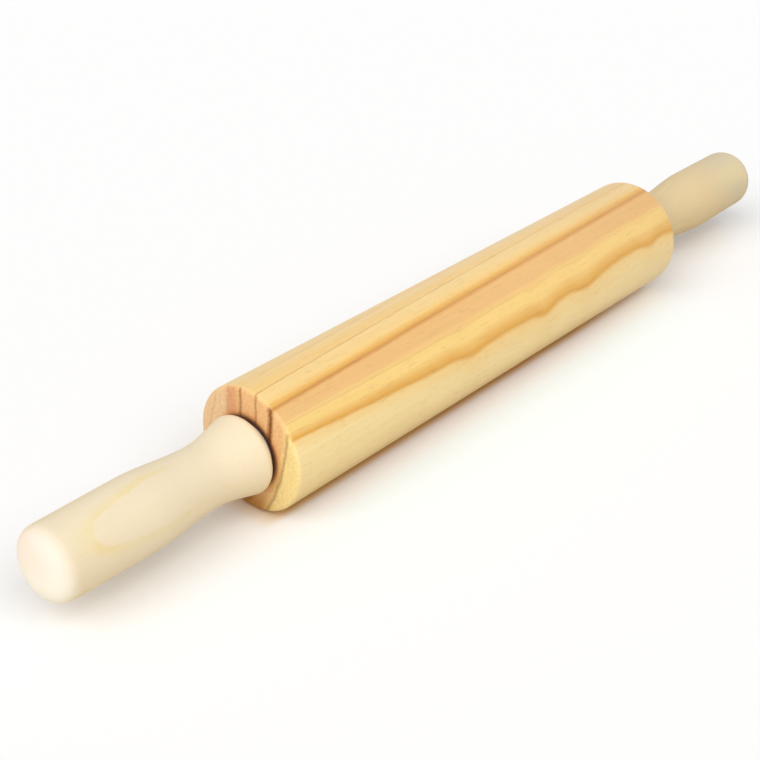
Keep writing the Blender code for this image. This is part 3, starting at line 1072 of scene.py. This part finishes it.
def bush_section(pin):
    """Sleeve with a flange, measured inwards from the flange's outer face at zero."""
    bush = pin.bushes
    bore = bush_bore(pin)
    outside = bore + bush.wall
    edge = bush.chamfer
    points = [(0.0, bore + edge)]
    points += arc((-edge, bush.flange_radius - edge), edge, 0, math.pi / 2, FLANGE_EDGE_STEPS)
    points += [(-bush.flange_thickness, bush.flange_radius), (-bush.flange_thickness, outside)]
    points += [(-bush.length + edge, outside), (-bush.length, outside - edge)]
    return points + [(-bush.length, bore), (-edge, bore)]


def insert_section(pin):
    """Sleeve with a lip, a row of barbs and a threaded bore, measured outwards from its mouth."""
    insert = pin.inserts
    outside = insert_radius(pin)
    valley = outside - insert.barb_depth
    bore = stud_core(pin) + SEAT_GAP
    first = insert.lip_thickness + insert.barb_margin
    last = insert.length - insert.barb_margin
    pitch = (last - first) / insert.barbs
    lip = lip_radius(pin)
    points = [(0.0, bore + insert.chamfer), (0.0, lip), (insert.lip_thickness, lip)]
    points += [(insert.lip_thickness, valley), (first, valley)]
    for barb in range(insert.barbs):
        points += [(first + barb * pitch, outside), (first + (barb + 1) * pitch, valley)]
    points.append((insert.length, valley))
    start, end = insert.length, insert.chamfer
    return points + threaded_run(pin.axle, start, end, bore, 2 * end, start)


class Undoable:
    """What the pin's operators share."""

    bl_options = {"REGISTER", "UNDO"}


class PIN_OT_stage(Undoable, bpy.types.Operator):
    """Set the camera, the soft light and the plain pale floor"""

    bl_idname = "rolling_pin.stage"
    bl_label = "Stage"

    def execute(self, context):
        pin = context.scene.rolling_pin
        make_camera(pin.stage)
        make_floor(pin)
        make_light(pin.stage)
        return {"FINISHED"}


class PIN_OT_barrel(Undoable, bpy.types.Operator):
    """Turn the pine barrel"""

    bl_idname = "rolling_pin.barrel"
    bl_label = "Barrel"

    def execute(self, context):
        pin = context.scene.rolling_pin
        wood = golden_pine(pin.barrel)
        points = barrel_section(pin)
        obj = turned_piece("barrel_turned", points, wood, pin.barrel.sides, closed=True)
        stand_for(obj, "barrel", "barrel", "golden_pine")
        return {"FINISHED"}


class PIN_OT_handles(Undoable, bpy.types.Operator):
    """Turn the two handles"""

    bl_idname = "rolling_pin.handles"
    bl_label = "Handles"

    def execute(self, context):
        pin = context.scene.rolling_pin
        wood = pale_wood(pin.handles)
        points = handle_section(pin)
        x = collar_face(pin)
        make_pair("handle", points, wood, pin.handles.sides, x, "handles", "pale_wood")
        return {"FINISHED"}


class PIN_OT_axle(Undoable, bpy.types.Operator):
    """Turn the steel rod, cut its threads and add the thrust washers"""

    bl_idname = "rolling_pin.axle"
    bl_label = "Axle and washers"

    def execute(self, context):
        pin = context.scene.rolling_pin
        steel = turned_steel(pin.axle)
        start = thread_start(pin)
        thread = (start, pin.axle.thread_pitch, pin.axle.thread_depth)
        points = rod_section(pin)
        rod = turned_piece("axle_rod_turned", points, steel, pin.axle.sides, thread=thread)
        tidy_mesh(rod.data, doubled=True)
        stand_for(rod, "axle_rod", "handles", "turned_steel")
        x = washer_face(pin)
        points = washer_section(pin)
        sides = 2 * pin.axle.sides
        make_pair("washer", points, steel, sides, x, "handles", "turned_steel", closed=True)
        return {"FINISHED"}


class PIN_OT_bushes(Undoable, bpy.types.Operator):
    """Mould the two flanged bushes"""

    bl_idname = "rolling_pin.bushes"
    bl_label = "Bushes"

    def execute(self, context):
        pin = context.scene.rolling_pin
        nylon = white_nylon(pin.bushes)
        points = bush_section(pin)
        x = flange_face(pin)
        make_pair("bush", points, nylon, pin.bushes.sides, x, "barrel", "white_nylon", closed=True)
        return {"FINISHED"}


class PIN_OT_inserts(Undoable, bpy.types.Operator):
    """Turn the two barbed inserts and cut their threads"""

    bl_idname = "rolling_pin.inserts"
    bl_label = "Inserts"

    def execute(self, context):
        pin = context.scene.rolling_pin
        metal = brass(pin.inserts)
        points = insert_section(pin)
        x = insert_face(pin)
        start = thread_start(pin) - x
        thread = (start, pin.axle.thread_pitch, pin.axle.thread_depth)
        options = {"closed": True, "thread": thread}
        make_pair("insert", points, metal, pin.inserts.sides, x, "handles", "brass", **options)
        return {"FINISHED"}


def make_camera(stage):
    """The camera, on the far end of a line that leaves the pin at an angle."""
    across = math.cos(stage.lift)
    away = Vector((math.sin(stage.turn_round) * across, -math.cos(stage.turn_round) * across, 0))
    away.z = math.sin(stage.lift)
    target = Vector((stage.look_along, stage.look_across, 0))
    data = bpy.data.cameras.new("camera")
    data.lens = stage.lens
    data.sensor_width = FRAME_WIDTH
    data.sensor_fit = "HORIZONTAL"
    data.clip_start = NEAREST_SEEN
    obj = bpy.data.objects.new("camera", data)
    obj.location = target + away * stage.distance
    obj.rotation_euler = (-away).to_track_quat("-Z", "Y").to_euler()
    bpy.context.scene.collection.objects.link(obj)
    bpy.context.scene.camera = obj


def make_floor(pin):
    """A wide round floor under the pin."""
    shape = bmesh.new()
    rings = bmesh.ops.create_circle(
        shape, cap_ends=True, segments=FLOOR_SIDES, radius=pin.stage.floor_radius
    )
    bmesh.ops.translate(shape, verts=rings["verts"], vec=(0, 0, -pin.barrel.radius))
    mesh = bpy.data.meshes.new("floor")
    shape.to_mesh(mesh)
    shape.free()
    mesh.materials.append(floor_paper(pin.stage))
    obj = bpy.data.objects.new("floor", mesh)
    bpy.context.scene.collection.objects.link(obj)
    obj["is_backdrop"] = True


# Smooth changes on the floor: along the barrel, outwards under it and where it rests, and in front
# of it where its warm light falls
BARREL_BEGINS = (-0.135, -0.115)
BARREL_ENDS = (0.06, 0.135, 1.0, 0.0)
UNDER_BARREL = (0.015, 0.035, 1.0, 0.0)
AT_CONTACT = (0.0105, 0.0155, 1.0, 0.0)
WARM_BEGINS = (0.018, 0.030)
WARM_ENDS = (0.030, 0.080, 1.0, 0.0)
WARM_LENGTH = (0.100, 0.145, 1.0, 0.0)
PAPER_WHITE = (0.985,) * 3


def floor_paper(stage):
    """Pale paper, white to the camera, that keeps the pin's shadow and has painted shade and tint
    round the barrel.
    """
    finish = Finish("floor_paper", roughness=0.9, specular_ior_level=0.0)
    seen = number(add(finish.tree, "ShaderNodeLightPath"), "Is Camera Ray")
    x, y, _ = split(finish.place)
    along = x.smooth(*BARREL_BEGINS) * x.smooth(*BARREL_ENDS)
    away = y.math("ABSOLUTE")
    # Painted shade: dark brown light thrown back from under the barrel
    lit = mix(away.smooth(*UNDER_BARREL) * along, stage.floor, stage.shaded)
    # Painted tint: cooler white in front of the barrel, where its warm light falls
    front = y * -1.0
    warm = front.smooth(*WARM_BEGINS) * front.smooth(*WARM_ENDS)
    warm = warm * x.math("ABSOLUTE").smooth(*WARM_LENGTH)
    white = mix(warm, PAPER_WHITE, stage.cool)
    # Painted shadow: wood-coloured shade where the barrel rests, for the camera only
    white = mix(away.smooth(*AT_CONTACT) * along, white, stage.contact)
    link(finish.shader, base_color=mix(seen, lit, white))
    return finish.material


def make_lamp(name, energy, spread, towards):
    """A soft distant lamp that shines from a direction."""
    lamp = bpy.data.lights.new(name, "SUN")
    lamp.energy = energy
    lamp.angle = spread
    lamp.color = LAMP_WHITE
    obj = bpy.data.objects.new(name, lamp)
    obj.rotation_euler = Vector(towards).to_track_quat("Z", "Y").to_euler()
    bpy.context.scene.collection.objects.link(obj)


def make_light(stage):
    """Even light from all round, white where it is seen, and two broad soft lamps."""
    world = bpy.data.worlds.new("studio")
    bpy.context.scene.world = world
    world.use_nodes = True
    tree = world.node_tree
    background = tree.nodes["Background"]
    background.inputs["Color"].default_value = (1.0, 1.0, 1.0, 1.0)
    path = tree.nodes.new("ShaderNodeLightPath")
    seen = number(path, "Is Camera Ray").math("MAXIMUM", number(path, "Is Glossy Ray"))
    seen = seen.math("MAXIMUM", number(path, "Is Transmission Ray"))
    connect(seen * (1.0 - stage.sky) + stage.sky, background.inputs["Strength"])
    make_lamp("key", stage.key, stage.key_spread, stage.key_from)
    make_lamp("fill", stage.fill, stage.fill_spread, stage.fill_from)
    bpy.context.scene.view_settings.view_transform = "Standard"


class PIN_PT_sidebar(bpy.types.Panel):
    """Lists what the rolling pin is made of"""

    bl_idname = "PIN_PT_sidebar"
    bl_label = "Rolling Pin"
    bl_space_type = "VIEW_3D"
    bl_region_type = "UI"
    bl_category = "Rolling Pin"

    def draw(self, context):
        pin = context.scene.rolling_pin
        for operator, group in STEPS:
            box = self.layout.box()
            box.operator(operator.bl_idname, text=operator.bl_label)
            settings = getattr(pin, group)
            for name in settings.__annotations__:
                box.prop(settings, name)


STEPS = (
    (PIN_OT_stage, "stage"),
    (PIN_OT_barrel, "barrel"),
    (PIN_OT_handles, "handles"),
    (PIN_OT_axle, "axle"),
    (PIN_OT_bushes, "bushes"),
    (PIN_OT_inserts, "inserts"),
)
SETTINGS = (
    BarrelSettings, HandleSettings, AxleSettings, BushSettings, InsertSettings, StageSettings,
    PinSettings,
)


def register():
    for item in SETTINGS + tuple(operator for operator, _ in STEPS) + (PIN_PT_sidebar,):
        bpy.utils.register_class(item)
    bpy.types.Scene.rolling_pin = bpy.props.PointerProperty(type=PinSettings)


def unregister():
    del bpy.types.Scene.rolling_pin
    for item in (PIN_PT_sidebar,) + tuple(operator for operator, _ in STEPS) + SETTINGS[::-1]:
        bpy.utils.unregister_class(item)


def main():
    register()
    for operator, _ in STEPS:
        group, name = operator.bl_idname.split(".")
        getattr(getattr(bpy.ops, group), name)()
    boxes = {"cad": cad_box, "visual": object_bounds()}
    plain = {name: [[float(v) for v in corner] for corner in box] for name, box in boxes.items()}


if __name__ == "__main__":
    main()
